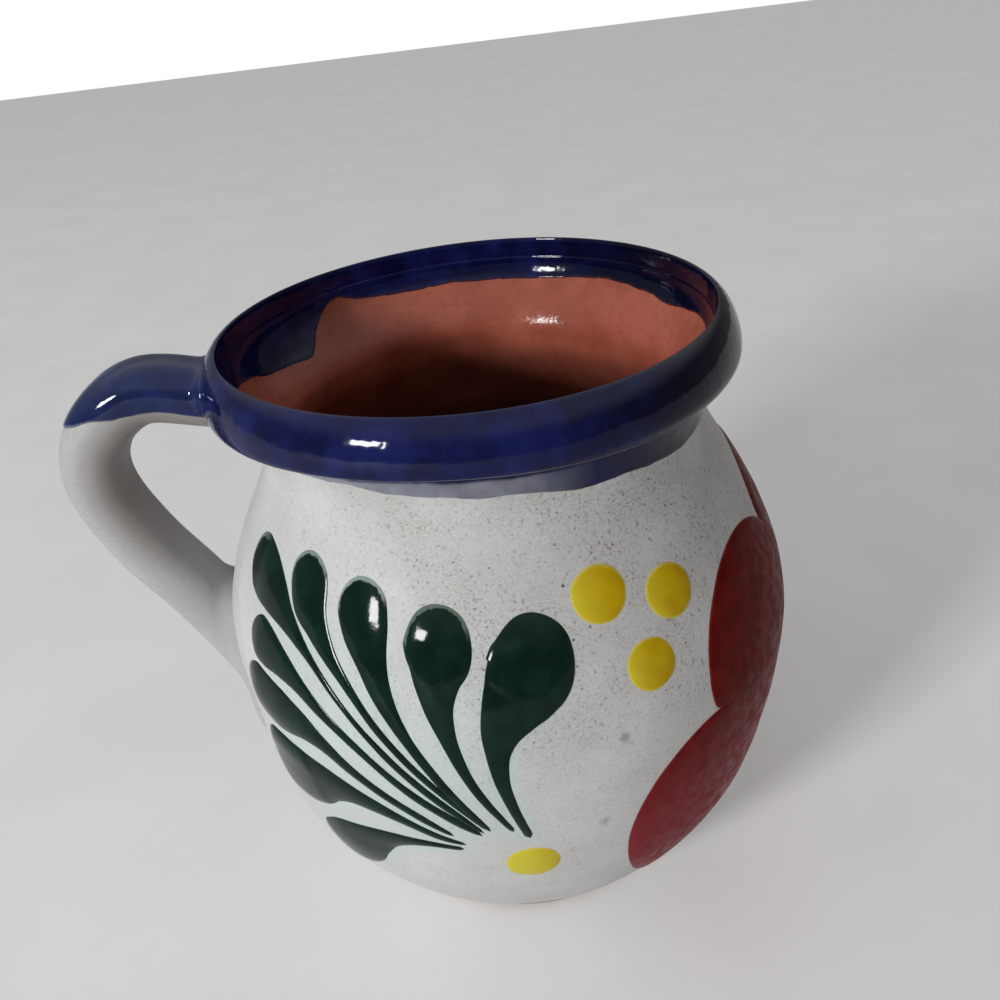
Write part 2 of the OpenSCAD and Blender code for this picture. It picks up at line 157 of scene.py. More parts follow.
wall_line = smooth_line(
    [(share * belly_z, mix(foot_r, belly_r, gain)) for share, gain in SWELL]
    + [(mix(belly_z, neck_z, share), mix(belly_r, neck_r, loss)) for share, loss in SHOULDER]
    + [(crease_z, neck_r + neck_flare)]
)


def outside_r(z):
    """Radius of the finished outside at a height, the rolled rim included."""
    if z <= crease_z:
        return wall_line(z)
    if z < widest_z:
        return rim_r - roll_r + math.sqrt(roll_r**2 - (widest_z - z) ** 2)
    up = (z - widest_z) / (pot_h - widest_z)
    return crest_r + crest_in * max(1 - up**bead_power, 0) ** (1 / bead_power)


def inside_r(z):
    """Radius of the finished inside at a height above the bowl of the floor."""
    if z <= neck_z:
        return wall_line(z) - wall_t
    return mix(neck_r - wall_t, crest_r - lip_t, ease((z - neck_z) / (crest_z - neck_z)))


def bell(away):
    return math.exp(-away * away)


def drawn_up(turn, r, z):
    """Radius and height of the crease and what is next to it, which the hand drew up at the front."""
    near = ease(1 - (z - crease_z) / roll_r) if z > crease_z else ease(1 - (crease_z - z) / crease_reach)
    z_new = z + crease_rise * bell((turn - crease_turn) / crease_span) * near
    return r + wall_line(min(z_new, crease_z)) - wall_line(min(z, crease_z)), z_new


def noise_round(turn, waves, level):
    """Soft unevenness round the pot: the more waves, the finer. Every level has its own."""
    a = math.radians(turn)
    return noise.noise(Vector((waves * math.cos(a), waves * math.sin(a), level)))


def hand_made(turn, z, rings=ring_depth):
    """How far the hand-thrown wall stands off the true round."""
    off = out_of_round * (noise_round(turn, 1.2, z / wave_h) - 0.5)
    off += rings * (noise_round(turn, 0.5, z / ring_gap) - 0.3)
    off -= flat_depth * bell((turn - flat_turn) / flat_span) * bell((z - flat_z) / flat_h)
    toward_handle = max(-math.cos(math.radians(turn)), 0) ** 2
    return off + rim_pull * toward_handle * ease((z - neck_z) / (crease_z - neck_z))


def skin(turn, z, lift=0):
    """Point on the finished outside of the pot, in metres."""
    r = outside_r(z) + hand_made(turn, z) + lift
    a = math.radians(turn)
    return Vector((r * math.cos(a), r * math.sin(a), z)) * MM


def degree_l(z):
    """Length of one degree round the pot at a height."""
    return math.radians(outside_r(z))


def new_mesh(*layers):
    """An empty bmesh with named vertex values, which the materials read."""
    mesh = bmesh.new()
    return mesh, [mesh.verts.layers.float.new(name) for name in layers]


def piece(name, mesh, material, slot, *nodes):
    """Turns a bmesh into a smooth piece that rides on the pot and stands for its CAD nodes."""
    bmesh.ops.recalc_face_normals(mesh, faces=mesh.faces)
    data = bpy.data.meshes.new(name)
    mesh.to_mesh(data)
    mesh.free()
    data.materials.append(material)
    data.shade_smooth()
    data.set_sharp_from_angle(angle=math.radians(sharp_angle))
    made = bpy.data.objects.new(name, data)
    bpy.context.scene.collection.objects.link(made)
    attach(made, "root")
    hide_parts(*nodes)
    return made


def turned(mesh, line, steps=240):
    """Spins a profile of (radius, height) pairs round the axis. One that starts on the axis ends there."""
    spots = [mesh.verts.new((r * MM, 0, z * MM)) for r, z in line]
    pairs = list(zip(spots, spots[1:]))
    if line[0][0] > 0:
        pairs.append((spots[-1], spots[0]))
    edges = [mesh.edges.new(pair) for pair in pairs]
    bmesh.ops.spin(
        mesh,
        geom=spots + edges,
        cent=(0, 0, 0),
        axis=(0, 0, 1),
        angle=math.tau,
        steps=steps,
        space=Matrix.Identity(4),
        use_merge=True,
    )
    bmesh.ops.remove_doubles(mesh, verts=mesh.verts, dist=hair * MM)


def round_place(vert):
    """Turn, radius and height of a vertex, in degrees and millimetres."""
    x, y, z = vert.co / MM
    return math.degrees(math.atan2(y, x)) % 360, math.hypot(x, y), z


def put(vert, turn, r, z):
    a = math.radians(turn)
    vert.co = Vector((r * math.cos(a), r * math.sin(a), z)) * MM


def grid(mesh, columns, rows, place):
    """A grid whose points are placed by a rule of (across, along), both from -1 to 1."""
    verts = bmesh.ops.create_grid(mesh, x_segments=columns, y_segments=rows, size=1)["verts"]
    for vert in verts:
        place(vert, vert.co.x, vert.co.y)
    return verts


def closed_patch(mesh, columns, rows, top, base):
    """A thin closed body between a top grid and a base grid with the same outline."""
    below = dict(zip(grid(mesh, columns, rows, top), grid(mesh, columns, rows, base)))
    for edge in [edge for edge in mesh.edges if edge.is_boundary and edge.verts[0] in below]:
        first, second = edge.verts
        mesh.faces.new((first, second, below[second], below[first]))


# The pot

def profile(z_low, z_high, count, depth, radius=outside_r):
    return [(radius(z) - depth, z) for z in steps_between(z_low, z_high, count)]


def crest_line(depth, count):
    """Over the bead of the rim, from its widest place to its inner side."""
    line = []
    for t in steps_between(0, math.pi / 2, count):
        out, up = math.cos(t) ** (2 / bead_power), math.sin(t) ** (2 / bead_power)
        line.append((crest_r + (crest_in - depth) * out, widest_z + (pot_h - widest_z - depth) * up))
    for t in steps_between(math.pi / 2, math.pi, count // 2)[1:]:
        line.append((crest_r + (lip_t - depth) * math.cos(t), crest_z + (crest_h - depth) * math.sin(t)))
    return line


def roll_line(depth, count):
    """Round the lower edge of the rim, from the crease outwards."""
    line = []
    for t in steps_between(-math.pi / 2, 0, count):
        r = rim_r - roll_r + (roll_r - depth) * math.cos(t)
        line.append((r, widest_z + (roll_r - depth) * math.sin(t)))
    return line


def bowl_line(depth, count):
    """Down the round corner of the inside and over the floor to the axis."""
    line = []
    for t in steps_between(0, math.pi / 2, count)[1:]:
        r = (inside_r(bowl_z) + depth) * math.sqrt(max(math.cos(t), 0))
        line.append((r, bowl_z - (bowl_h + depth) * math.sin(t)))
    line[-1] = (0, line[-1][1])
    return line


foot_edge = 0.8
trim_depth = 0.3


def make_thrown_body(material):
    """The pot as thrown and trimmed: its bare foot shows, and the rest lies under slip and glaze."""
    mesh, _ = new_mesh()
    flat_r = foot_r - foot_edge
    foot = [(share * flat_r, trim_depth * (1 - share**6)) for share in steps_between(0, 1, 16)]
    corner = [
        (mix(flat_r, wall_line(foot_edge), math.sin(t)), foot_edge * (1 - math.cos(t)))
        for t in steps_between(0, math.pi / 2, 4)
    ]
    line = foot + corner[1:] + profile(bare_h, crease_z, 60, coat_t) + roll_line(coat_t, 5)
    line += crest_line(coat_t, 12) + profile(crest_z, bowl_z, 60, -coat_t, inside_r)[1:]
    line += bowl_line(coat_t, 8)
    turned(mesh, line, 120)
    for vert in mesh.verts:
        turn, r, z = round_place(vert)
        if r > axis_r and z > bare_h:
            off = hand_made(turn, z)
            if r > neck_r - wall_t / 2 and z < crest_z:
                r, z = drawn_up(turn, r, z)
            put(vert, turn, r + off, z)
    piece("thrown_body", mesh, material, "clay", "clay_body")


slip_top_z = 97.4
slip_edge_h = 0.7
slip_wave = 0.45
slip_wave_z = 8
slip_wave_h = 6


def make_slip_skin(material):
    """Pale slip over the outside, with a soft, uneven edge above the bare foot."""
    mesh, (bloom_layer, _) = new_mesh("bloom", "inner_shade")
    edge = [
        (wall_line(z) - coat_t * (1 - math.sin(t)), z)
        for t in steps_between(0, math.pi / 2, 5)
        for z in [bare_h + slip_edge_h * (1 - math.cos(t))]
    ]
    outer = edge + profile(bare_h + slip_edge_h, slip_top_z, 110, 0)[1:]
    inner = profile(slip_top_z, bare_h, 50, coat_t)
    turned(mesh, outer + inner)
    for vert in mesh.verts:
        turn, r, z = round_place(vert)
        low = clamp((slip_wave_z - z) / slip_wave_h)
        z_new = z + slip_wave * noise_round(turn, 5, 3) * low
        r_new = r - wall_line(z) + wall_line(z_new) + hand_made(turn, z_new)
        put(vert, turn, r_new, z_new)
        vert[bloom_layer] = bloom(turn, z_new)
    piece("slip_skin", mesh, material, "slip", "slip_coat")


# Lower edge of the blue glaze outside, and its edge inside: turn, height
BLUE_EDGE = smooth_line([
    (0, 92.8), (60, 94), (110, 93), (150, 95), (190, 96.2), (215, 96.4), (235, 96.5), (244, 95.9),
    (255, 95.4), (264, 95.1), (275, 94.7), (287, 93.4), (301, 92.7), (315, 91.5), (329, 91.4),
    (345, 92.2), (360, 92.8),
])
BLUE_INSIDE = smooth_line([
    (0, 102), (5, 101.9), (21, 100.6), (29, 101.2), (38, 101.6), (52, 101.8), (61, 101.4), (78, 101.2),
    (94, 101.5), (110, 101.5), (121, 102.3), (131, 103.5), (138, 100.3), (145, 96.6), (151, 96.8),
    (162, 97.7), (177, 100.5), (200, 101.8), (230, 101), (260, 101.8), (290, 101.2), (320, 102),
    (350, 101.2), (360, 102),
])
# How thin the blue ran below the crease: turn, share
BLUE_THIN = smooth_line([
    (0, 0), (90, 0.1), (150, 0.4), (200, 0.9), (235, 1), (262, 0.8), (275, 0.7), (284, 0.3), (292, 0),
    (360, 0),
])
glaze_proud = 0.1
glaze_lip_h = 0.35
edge_ragged = 0.25
edge_w = 0.9
thick_h = 1.45
thick_edge_h = 0.5


def ragged(turn, level=1.5):
    """Small unevenness of a glaze edge."""
    return edge_ragged * (noise_round(turn, 9, level) + 0.5 * noise_round(turn, 30, level))


def make_rim_glaze(material):
    """Blue glaze over the rolled rim, down the neck outside and a little way down inside."""
    mesh, (edge_layer, inner_layer, thin_layer) = new_mesh("outer_edge", "inner_edge", "thin")
    lip = [(outside_r(blue_z) - glaze_proud, blue_z)]
    outer = lip + profile(blue_z + glaze_lip_h, crease_z, 26, -glaze_proud) + roll_line(0, 12)[1:]
    over = crest_line(0, 32)
    inner = profile(crest_z, blue_in_z + glaze_lip_h, 30, glaze_proud, inside_r)[1:]
    inner += [(inside_r(blue_in_z) + glaze_proud, blue_in_z)]
    back = profile(blue_in_z, crest_z, 8, -coat_t, inside_r) + crest_line(coat_t, 12)[::-1][1:]
    back += roll_line(coat_t, 6)[::-1] + profile(crease_z, blue_z, 6, coat_t)[1:]
    turned(mesh, outer + over + inner + back)
    for vert in mesh.verts:
        turn, r, z = round_place(vert)
        outside = z < crest_z and r > (outside_r(z) + inside_r(z)) / 2
        if outside and z < crease_z:
            low = BLUE_EDGE(turn) + ragged(turn)
            z_new = crease_z - (crease_z - z) * (crease_z - low) / (crease_z - blue_z)
            r += outside_r(z_new) - outside_r(z)
            vert[edge_layer] = ease(1 - (z_new - low) / edge_w)
            below = crease_z - z_new - thick_h + ragged(turn, 6)
            vert[thin_layer] = BLUE_THIN(turn) * ease(below / thick_edge_h)
        elif not outside and z < crest_z:
            low = min(BLUE_INSIDE(turn) + ragged(turn, 4), crest_z - 1)
            z_new = crest_z - (crest_z - z) * (crest_z - low) / (crest_z - blue_in_z)
            r += inside_r(z_new) - inside_r(z)
            vert[inner_layer] = ease(1 - (z_new - low) / edge_w)
        else:
            z_new = z
        off = hand_made(turn, z_new)
        if outside:
            r, z_new = drawn_up(turn, r, z_new)
        put(vert, turn, r + off, z_new)
    piece("rim_glaze_skin", mesh, material, "blue_glaze", "rim_glaze")


liner_top_z = 104.3
ring_fade_h = 8
still_r = 20


def make_liner(material):
    """Clear-glazed clay that lines the inside, with the thrower's rings in it."""
    mesh, _ = new_mesh()
    inner = profile(liner_top_z, bowl_z, 110, 0, inside_r) + bowl_line(0, 20)
    back = profile(liner_top_z, bowl_z, 40, -coat_t, inside_r) + bowl_line(coat_t, 10)
    turned(mesh, inner[::-1] + back)
    for vert in mesh.verts:
        turn, r, z = round_place(vert)
        if r > axis_r:
            rings = mix(inner_ring_depth, ring_depth, ease((z - neck_z) / ring_fade_h))
            put(vert, turn, r + hand_made(turn, z, rings) * ease(r / still_r), z)
    piece("clear_lining", mesh, material, "clear_glaze", "inner_glaze")


# The handle

handle_out = 15.8
handle_drop = 8.6
handle_low_z = 46
strap_t = 10.8
strap_w = 12.6
slim_share = 0.88
join_spread = 1.3
bow_r = belly_r + handle_out
handle_top_z = pot_h - handle_drop
upper_root_r = neck_r - wall_t / 2
lower_root_r = wall_line(handle_low_z) - wall_t / 2
# Path of the strap: share of the way out to its bow, share of the drop from its upper to its lower end
UPPER_PATH = [(0, 0.02), (0.262, 0), (0.642, -0.036), (0.913, 0.07), (1, 0.235)]
LOWER_PATH = [(0.8, 0.449), (0.38, 0.697), (0, 0.956), (-0.3, 1.16)]
strap_path = [
    Vector((mix(root_r, bow_r, out), mix(handle_top_z, handle_low_z, drop)))
    for root_r, half_path in ((upper_root_r, UPPER_PATH), (lower_root_r, LOWER_PATH))
    for out, drop in half_path
]
path_spans = len(strap_path) - 1
oblong_power = 0.8
upper_join_way = 1.8
lower_join_way = 6.4
bow_way = 4
upper_fillet = 2.2
lower_fillet = 3.2
flare_share = 0.8
flare_over = 1
flare_fade_h = 2.5
end_sunk = 1.2
finger_marks = 0.12


def path_slope(i):
    """Slope of the strap's path at its station i, per station."""
    ends = i in (0, path_spans)
    return (strap_path[min(i + 1, path_spans)] - strap_path[max(i - 1, 0)]) / (1 if ends else 2)


def path_at(way):
    """Distance from the axis and height of the strap's path. The way counts its stations."""
    i = min(int(way), path_spans - 1)
    t = way - i
    start = strap_path[i] * (1 + 2 * t) + path_slope(i) * t
    end = strap_path[i + 1] * (3 - 2 * t) + path_slope(i + 1) * (t - 1)
    return start * (1 - t) ** 2 + end * t * t


def bulge(x):
    """Fills a round section out towards an oblong one."""
    return math.copysign(abs(x) ** oblong_power, x)


def spread(way):
    """How much fatter the strap is near its joins."""
    if way < upper_join_way:
        return join_spread * (1 - way / upper_join_way) ** 2
    return join_spread * clamp((way - lower_join_way) / (path_spans - lower_join_way)) ** 2


def strap_point(way, turn, lift=0):
    """Middle of the strap and a point on its skin, in millimetres. The turn starts at its outer side."""
    at = path_at(way)
    along = (path_at(min(way + hair, path_spans)) - path_at(max(way - hair, 0))).normalized()
    slim = mix(slim_share, 1, ease(way / bow_way))
    a = math.radians(turn)
    proud = spread(way) + lift + finger_marks * noise.noise(Vector((way * 1.7, math.cos(a), math.sin(a))))
    out = bulge(math.cos(a)) * (strap_t / 2 * slim + proud)
    side = bulge(math.sin(a)) * (strap_w / 2 + proud)
    middle = Vector((-at.x, 0, at.y))
    return middle, Vector((-(at.x - along.y * out), -side, at.y + along.x * out))


def pot_r_at(turn, z):
    """Radius of the pot's outside next to the handle."""
    return outside_r(min(z, pot_h - hair)) + hand_made(turn, z)


def on_strap(way, turn, lift=0):
    """The handle's skin with its ends flared onto the pot and kept inside the wall, in metres."""
    middle, spot = strap_point(way, turn, lift)
    fillet = upper_fillet if way < bow_way else lower_fillet
    r = math.hypot(spot.x, spot.y)
    pot_turn = math.degrees(math.atan2(spot.y, spot.x)) % 360
    gap = clamp(r - pot_r_at(pot_turn, spot.z), 0, fillet)
    low_enough = clamp((crest_z + flare_over - spot.z) / flare_fade_h)
    flare = flare_share * fillet * (1 - gap / fillet) ** 2 * low_enough
    spot += (spot - middle).normalized() * flare
    deepest = pot_r_at(pot_turn, spot.z) - end_sunk
    r = math.hypot(spot.x, spot.y)
    if r < deepest:
        spot.x *= deepest / r
        spot.y *= deepest / r
    return spot * MM


# The strap's inner face, painted darker as shade: turn from its back, soft edge, share left past the bow
inner_shade_turn = 70
inner_shade_blur = 45
inner_shade_low = 0.25
inner_shade_fade = 2.5
seam_gap = 0.001


def make_handle_slip(material):
    """Pale slip over the pulled strap, smeared out where it is luted to the neck and the belly."""
    mesh, (_, inner_shade_layer) = new_mesh("bloom", "inner_shade")

    def place(vert, across, along):
        way = (along + 1) / 2 * path_spans
        # Painted shade: the inner face, which faces the pot, is darkened, less so past the bow
        inner_face = ease((180 * abs(across) - inner_shade_turn) / inner_shade_blur)
        vert[inner_shade_layer] = inner_face * mix(1, inner_shade_low, ease((way - bow_way) / inner_shade_fade))
        vert.co = on_strap(way, 180 * across)

    grid(mesh, 64, 200, place)
    bmesh.ops.remove_doubles(mesh, verts=mesh.verts, dist=seam_gap * MM)
    ends = [edge for edge in mesh.edges if edge.is_boundary]
    bmesh.ops.holes_fill(mesh, edges=ends, sides=0)
    hidden = ("handle_strap", "upper_join", "lower_join")
    piece("handle_slip_skin", mesh, material, "slip", "handle_slip", *hidden)


blue_turn = 104
blue_wander = 5
blue_proud = 0.28
blue_sunk = -0.15
blue_end_row = 0.35
blue_end_wave = 0.03
span_l = 8
# Where the blue ends along the handle: share of the turn from the strap's back to its side edge, way
BLUE_END = smooth_line([(0, 3.12), (0.4, 2.98), (0.67, 2.7), (0.86, 2.42), (1, 2.05)])


def make_handle_glaze(material):
    """Blue glaze over the back and sides of the upper arm; the underside stays pale."""
    mesh, (edge_layer,) = new_mesh("outer_edge")

    def placed(lift):
        def place(vert, across, along):
            side = math.sin(math.pi / 2 * across)
            share = (along + 1) / 2
            wave = blue_end_wave * noise.noise(Vector((side * 4, 7, 1)))
            way = (BLUE_END(abs(side)) + wave) * share
            turn = (blue_turn + blue_wander * noise.noise(Vector((way * 2.2, side, 5)))) * side
            to_side = (1 - abs(side)) * blue_turn * math.radians(strap_t / 2)
            to_end = (1 - share) * BLUE_END(abs(side)) * span_l
            near = min(to_side, to_end)
            vert[edge_layer] = ease(1 - near / edge_w)
            low = ease(near / blue_end_row)
            vert.co = on_strap(way, turn, lift * low if lift > 0 else lift)

        return place

    closed_patch(mesh, 96, 110, placed(blue_proud), placed(blue_sunk))
    piece("handle_glaze_skin", mesh, material, "blue_glaze", "handle_glaze")


# The painting

paint_t = 0.62
paint_foot = 0.02
paint_sunk = -0.08
# The nine strokes in the order of their nodes. Each has the share of its tip that dried to a pale fringe,
# and stations along it from its tip to its tail: turn, height, half width
Stroke = namedtuple("Stroke", "fringe stations")
LEAVES = [
    Stroke(0.5, [
        (201.3, 79, 3.7), (206, 78.7, 4.4), (211, 77.4, 4.3), (216, 75.8, 3.3), (221, 73.7, 1.9),
        (227, 70.8, 0.9), (235, 65.7, 0.52), (246, 57, 0.66), (255, 48.5, 0.7), (260, 43.3, 0.35),
    ]),
    Stroke(0.8, [
        (223.4, 84.4, 3.7), (224.6, 80.9, 4), (226.4, 77.7, 3.7), (229.3, 74.8, 2.35), (232.5, 72, 1.5),
        (237, 68.4, 0.9), (245, 61, 0.66), (253, 53.2, 0.62), (260.9, 44, 0.35),
    ]),
    Stroke(1, [
        (237.9, 83.1, 3.9), (239.4, 79.2, 4.2), (240.7, 76, 3.85), (242.4, 72.2, 2.65), (244.5, 68, 1.8),
        (248.4, 62.3, 1.02), (253, 56, 0.8), (257.4, 49.3, 0.72), (261.2, 43.8, 0.35),
    ]),
    Stroke(0.45, [
        (253.4, 80.5, 4.5), (255.1, 76, 5), (255.3, 73, 4.75), (254.9, 70, 3.45), (255, 67, 2.35),
        (256.1, 63, 1.45), (258.1, 57.5, 0.92), (261.6, 50, 0.72), (265.3, 43.4, 0.42),
    ]),
    Stroke(0, [
        (272.4, 78.8, 5), (272.4, 74.5, 5.9), (271.3, 70.8, 6.4), (269.3, 68.3, 5.7), (267.3, 66, 4.5),
        (265.5, 63.2, 3.2), (264.5, 59.5, 1.85), (264.5, 55.5, 1.25), (265.6, 49.8, 0.9),
        (268, 41.4, 0.65),
    ]),
    Stroke(0, [
        (208.3, 68.8, 3.3), (211.5, 68.4, 3.75), (215, 67.9, 3.6), (220, 67, 2.6), (225, 65.5, 1.6),
        (231, 62.7, 1.05), (240, 57.7, 0.72), (250, 50, 0.86), (256, 45.4, 0.8), (259.6, 42.6, 0.4),
    ]),
    Stroke(0, [
        (206.5, 59, 4.5), (211, 58.9, 4.9), (216, 58.6, 4.7), (221, 58.5, 4.1), (226, 58.1, 2.85),
        (231, 56.6, 1.65), (237, 53.3, 1.1), (245, 48.4, 0.9), (251, 44.5, 0.72), (254.3, 42.2, 0.4),
    ]),
    Stroke(0, [
        (208.5, 45, 5.6), (214, 45.3, 6.8), (220, 45.6, 7.1), (225, 46.4, 6.1), (230, 47.4, 4.15),
        (235, 47.3, 2.6), (240, 46.2, 1.7), (246, 44, 1.02), (252, 41.3, 0.72), (256.2, 40, 0.35),
    ]),
    Stroke(0, [
        (221, 26, 4.8), (224, 28, 5.4), (228, 30.6, 5.7), (232, 33.2, 5.2), (236, 35.6, 3.75),
        (240, 37.6, 2.3), (245, 38.8, 1.27), (250, 39.1, 0.75), (255.6, 38.7, 0.55),
    ]),
]


tip_share = 1.1
end_share = 1.5
probe_l = 0.5


class Brushed:
    """A stroke's middle line and half width, as functions of the way gone from its tip, in millimetres."""

    def __init__(self, stroke):
        self.fringe = stroke.fringe
        ways = [0]
        for (turn_a, z_a, _), (turn_b, z_b, _) in zip(stroke.stations, stroke.stations[1:]):
            ways.append(ways[-1] + math.hypot((turn_b - turn_a) * degree_l(z_a), z_b - z_a))
        turns, heights, halves = zip(*stroke.stations)
        self.turn_at = smooth_line(list(zip(ways, turns)))
        self.z_at = smooth_line(list(zip(ways, heights)))
        self.half_at = smooth_line(list(zip(ways, halves)))
        self.length = ways[-1]
        self.tip_r = tip_share * halves[0]
        self.end_r = end_share * halves[-1]

    def spot(self, gone):
        """Turn and height of the stroke's middle line."""
        return self.turn_at(gone), self.z_at(gone)

    def half(self, gone):
        """Half width with both ends rounded off."""
        tip = 1 - clamp(gone / self.tip_r)
        end = 1 - clamp((self.length - gone) / self.end_r)
        return self.half_at(gone) * math.sqrt(max(1 - tip * tip, 0)) * math.sqrt(max(1 - end * end, 0))

    def heading(self, gone):
        """Direction of the stroke on the pot's skin, as shares round and up."""
        turn_a, z_a = self.spot(max(gone - probe_l, 0))
        turn_b, z_b = self.spot(min(gone + probe_l, self.length))
        round_l, up_l = (turn_b - turn_a) * degree_l(z_a), z_b - z_a
        size = math.hypot(round_l, up_l)
        return round_l / size, up_l / size


BRUSHED = [Brushed(stroke) for stroke in LEAVES]
least_bleed = 0.12
bleed_from = 3
bleed_rise = 14
bleed_reach = 1.5
BLEED_SPOTS = [
    (*stroke.spot(gone), stroke.half(gone), mix(least_bleed, 1, ease((gone - bleed_from) / bleed_rise)))
    for stroke in BRUSHED
    for gone in steps_between(0, stroke.length, 26)
]
BLEED_TURNS = (190, 286)
BLEED_HEIGHTS = (18, 90)


def bloom(turn, z):
    """How much green bled into the slip beside the strokes: most between their tails."""
    turn = max(turn, 360 - turn)
    if not (BLEED_TURNS[0] < turn < BLEED_TURNS[1] and BLEED_HEIGHTS[0] < z < BLEED_HEIGHTS[1]):
        return 0
    most = 0
    across = degree_l(z)
    for at_turn, at_z, half, weight in BLEED_SPOTS:
        away = math.hypot((turn - at_turn) * across, z - at_z) - half
        if away < 2 * bleed_reach:
            most = max(most, weight * bell(max(away, 0) / bleed_reach))
    return most


# A stroke's dome: its half width where the paint is as thick as paint_t, the share of that thickness which
# a fine tail keeps, the most that a broad head gains, how far in it levels off, and the tail's thin end
full_half = 5
tail_share = 0.35
most_full = 1.15
level_off = 3.2
level_blur = 1.2
end_fade = 3
end_thin = 0.5
stroke_wobble = 0.03
fringe_share = 1.1
fringe_blur = 2
edge_far = 9


def make_stroke(name, stroke, side, material, node):
    """One brushed leaf: a fat, domed head that thins to a flat tail. Side -1 mirrors it to the far side."""
    mesh, (edge_layer, fringe_layer) = new_mesh("edge", "fringe")
    seed = 10 * stroke.length

    def placed(domed):
        def place(vert, across, along):
            gone = stroke.length * ((along + 1) / 2) ** 1.5
            s = math.sin(math.pi / 2 * across)
            half = stroke.half(gone)
            half *= 1 + stroke_wobble * noise.noise(Vector((gone / 4, 2 * math.copysign(1, s), seed)))
            turn, z = stroke.spot(gone)
            round_share, up_share = stroke.heading(gone)
            turn += up_share * half * s / degree_l(z)
            z -= round_share * half * s
            from_tip = clamp(gone / stroke.tip_r)
            from_end = clamp((stroke.length - gone) / end_fade)
            blob = math.sqrt(max(1 - (1 - from_tip) ** 2, 0)) * mix(end_thin, 1, ease(from_end))
            high = paint_t * mix(tail_share, 1, min(half / full_half, most_full) ** 1.5)
            from_level = 1 - clamp(half * (1 - abs(s)) / level_off)
            round_dome = max(1 - s * s, 0) ** 0.7
            level_dome = max(1 - from_level**2, 0) ** 0.6
            dome = mix(round_dome, level_dome, ease((half - full_half) / level_blur))
            lift = paint_foot + high * blob * dome if domed else paint_sunk
            in_tip = math.hypot(max(stroke.tip_r - gone, 0), s * half)
            in_head = gone < stroke.tip_r
            vert[edge_layer] = min(stroke.tip_r - in_tip, edge_far) if in_head else half * (1 - abs(s))
            vert[fringe_layer] = stroke.fringe * ease((fringe_share * stroke.tip_r - gone) / fringe_blur)
            vert.co = skin(turn if side > 0 else 360 - turn, z, lift)

        return place

    closed_patch(mesh, 20, 84, placed(True), placed(False))
    piece(name, mesh, material, "green_paint", node)


dab_t = 0.4
dab_wobble = 0.05
dab_painted_light = 0.55


def disc(mesh, layers, lemon, rings, place_at, half_w, half_h):
    """A domed round dab, painted lighter at its left, where the light falls. place_at lays a place on the
    flat dab onto the pot.
    """
    edge_layer, light_layer = layers

    def placed(domed):
        def place(vert, across, along):
            u = across * math.sqrt(1 - along * along / 2)
            v = along * math.sqrt(1 - across * across / 2)
            out = math.hypot(u, v)
            wave = 1 + dab_wobble * noise_round(math.degrees(math.atan2(v, u)), 1.3, half_w * 7)
            lift = paint_foot + dab_t * max(1 - out**2.6, 0) ** 0.8 if domed else paint_sunk
            vert[edge_layer] = half_w * (1 - out)
            # Painted light: the lit left side is lighter and the right side darker; lemon is the dab's own
            # tone
            vert[light_layer] = clamp(lemon - dab_painted_light * u)
            vert.co = place_at(u * half_w * wave, v * half_h * wave, lift)

        return place

    closed_patch(mesh, rings, rings, placed(True), placed(False))


# The yellow dabs: turn, height as a share of the waist's height, half width, half height, how lemon it is
DABS = [
    (287, 0.857, 4.3, 3.85, 0.2),
    (301.7, 0.822, 4.25, 3.8, 0),
    (293.6, 0.732, 4.1, 3.85, 0.1),
    (268, 0.373, 4.35, 4.1, 0.9),
]


def make_dots(name, side, material, node):
    """Three yellow dabs between the leaves and the flower, and one below the tails."""
    mesh, layers = new_mesh("edge", "light")
    for turn, share, half_w, half_h, lemon in DABS:

        def place_at(u, v, lift, turn=turn, z=neck_z * share):
            at = turn + u / degree_l(z + v)
            return skin(at if side > 0 else 360 - at, z + v, lift)

        disc(mesh, layers, lemon, 28, place_at, half_w, half_h)
    piece(name, mesh, material, "yellow_paint", node)


# The flower opposite the handle, drawn flat round its middle and laid on the belly
flower_z = 50
petal_l = 68
petal_turn = 77
eye_r = 8.5
eye_lemon = 0.2
petal_t = 0.36
petal_edge = 3
petal_light_z = 58
petal_fade_h = 26
petal_gap = 0.2
# Angle and reach of the notches between petals, and each petal's farthest reach, fullness and lean
NOTCHES = [(52, 0.4), (128, 0.4), (175, 0.68), (240, 0.48), (300, 0.48)]
Petal = namedtuple("Petal", "reach full lean")
PETALS = [Petal(0.46, 0.5, 1), Petal(0.735, 0.3, 2.7), Petal(1, 0.65, 0.82), Petal(0.5, 0.5, 1)]


def petal_reach(n, t):
    """How far petal n reaches at the share t of its angle."""
    base = mix(NOTCHES[n][1], NOTCHES[n + 1][1], t)
    full = max(math.sin(math.pi * t ** PETALS[n].lean), 0) ** PETALS[n].full
    return petal_l * (base + (PETALS[n].reach - base) * full)


def make_petal(name, n, side, material, node):
    """One red petal, brushed on thicker towards its middle, and painted lighter and pinker lower down as a
    sheen.
    """
    mesh, (edge_layer, light_layer) = new_mesh("edge", "light")

    def placed(domed):
        def place(vert, across, along):
            t = (math.sin(math.pi / 2 * across) + 1) / 2
            ring = math.sin(math.pi / 4 * (along + 1))
            near = eye_r + petal_gap
            reach = mix(near, petal_reach(n, t), ring)
            a = math.radians(mix(NOTCHES[n][0], NOTCHES[n + 1][0], t))
            z = flower_z + reach * math.sin(a)
            turn = reach * math.cos(a) * petal_turn / petal_l
            near_edge = min(petal_reach(n, t) - reach, reach - near)
            dome = (1 - (1 - clamp(near_edge / petal_edge)) ** 2) ** 0.6
            lift = paint_foot + petal_t * dome if domed else paint_sunk
            vert[edge_layer] = near_edge
            # Painted sheen: the petal is lighter and pinker lower down
            vert[light_layer] = ease((petal_light_z - z) / petal_fade_h)
            vert.co = skin(turn if side > 0 else -turn, z, lift)

        return place

    closed_patch(mesh, 72, 60, placed(True), placed(False))
    piece(name, mesh, material, "red_paint", node)


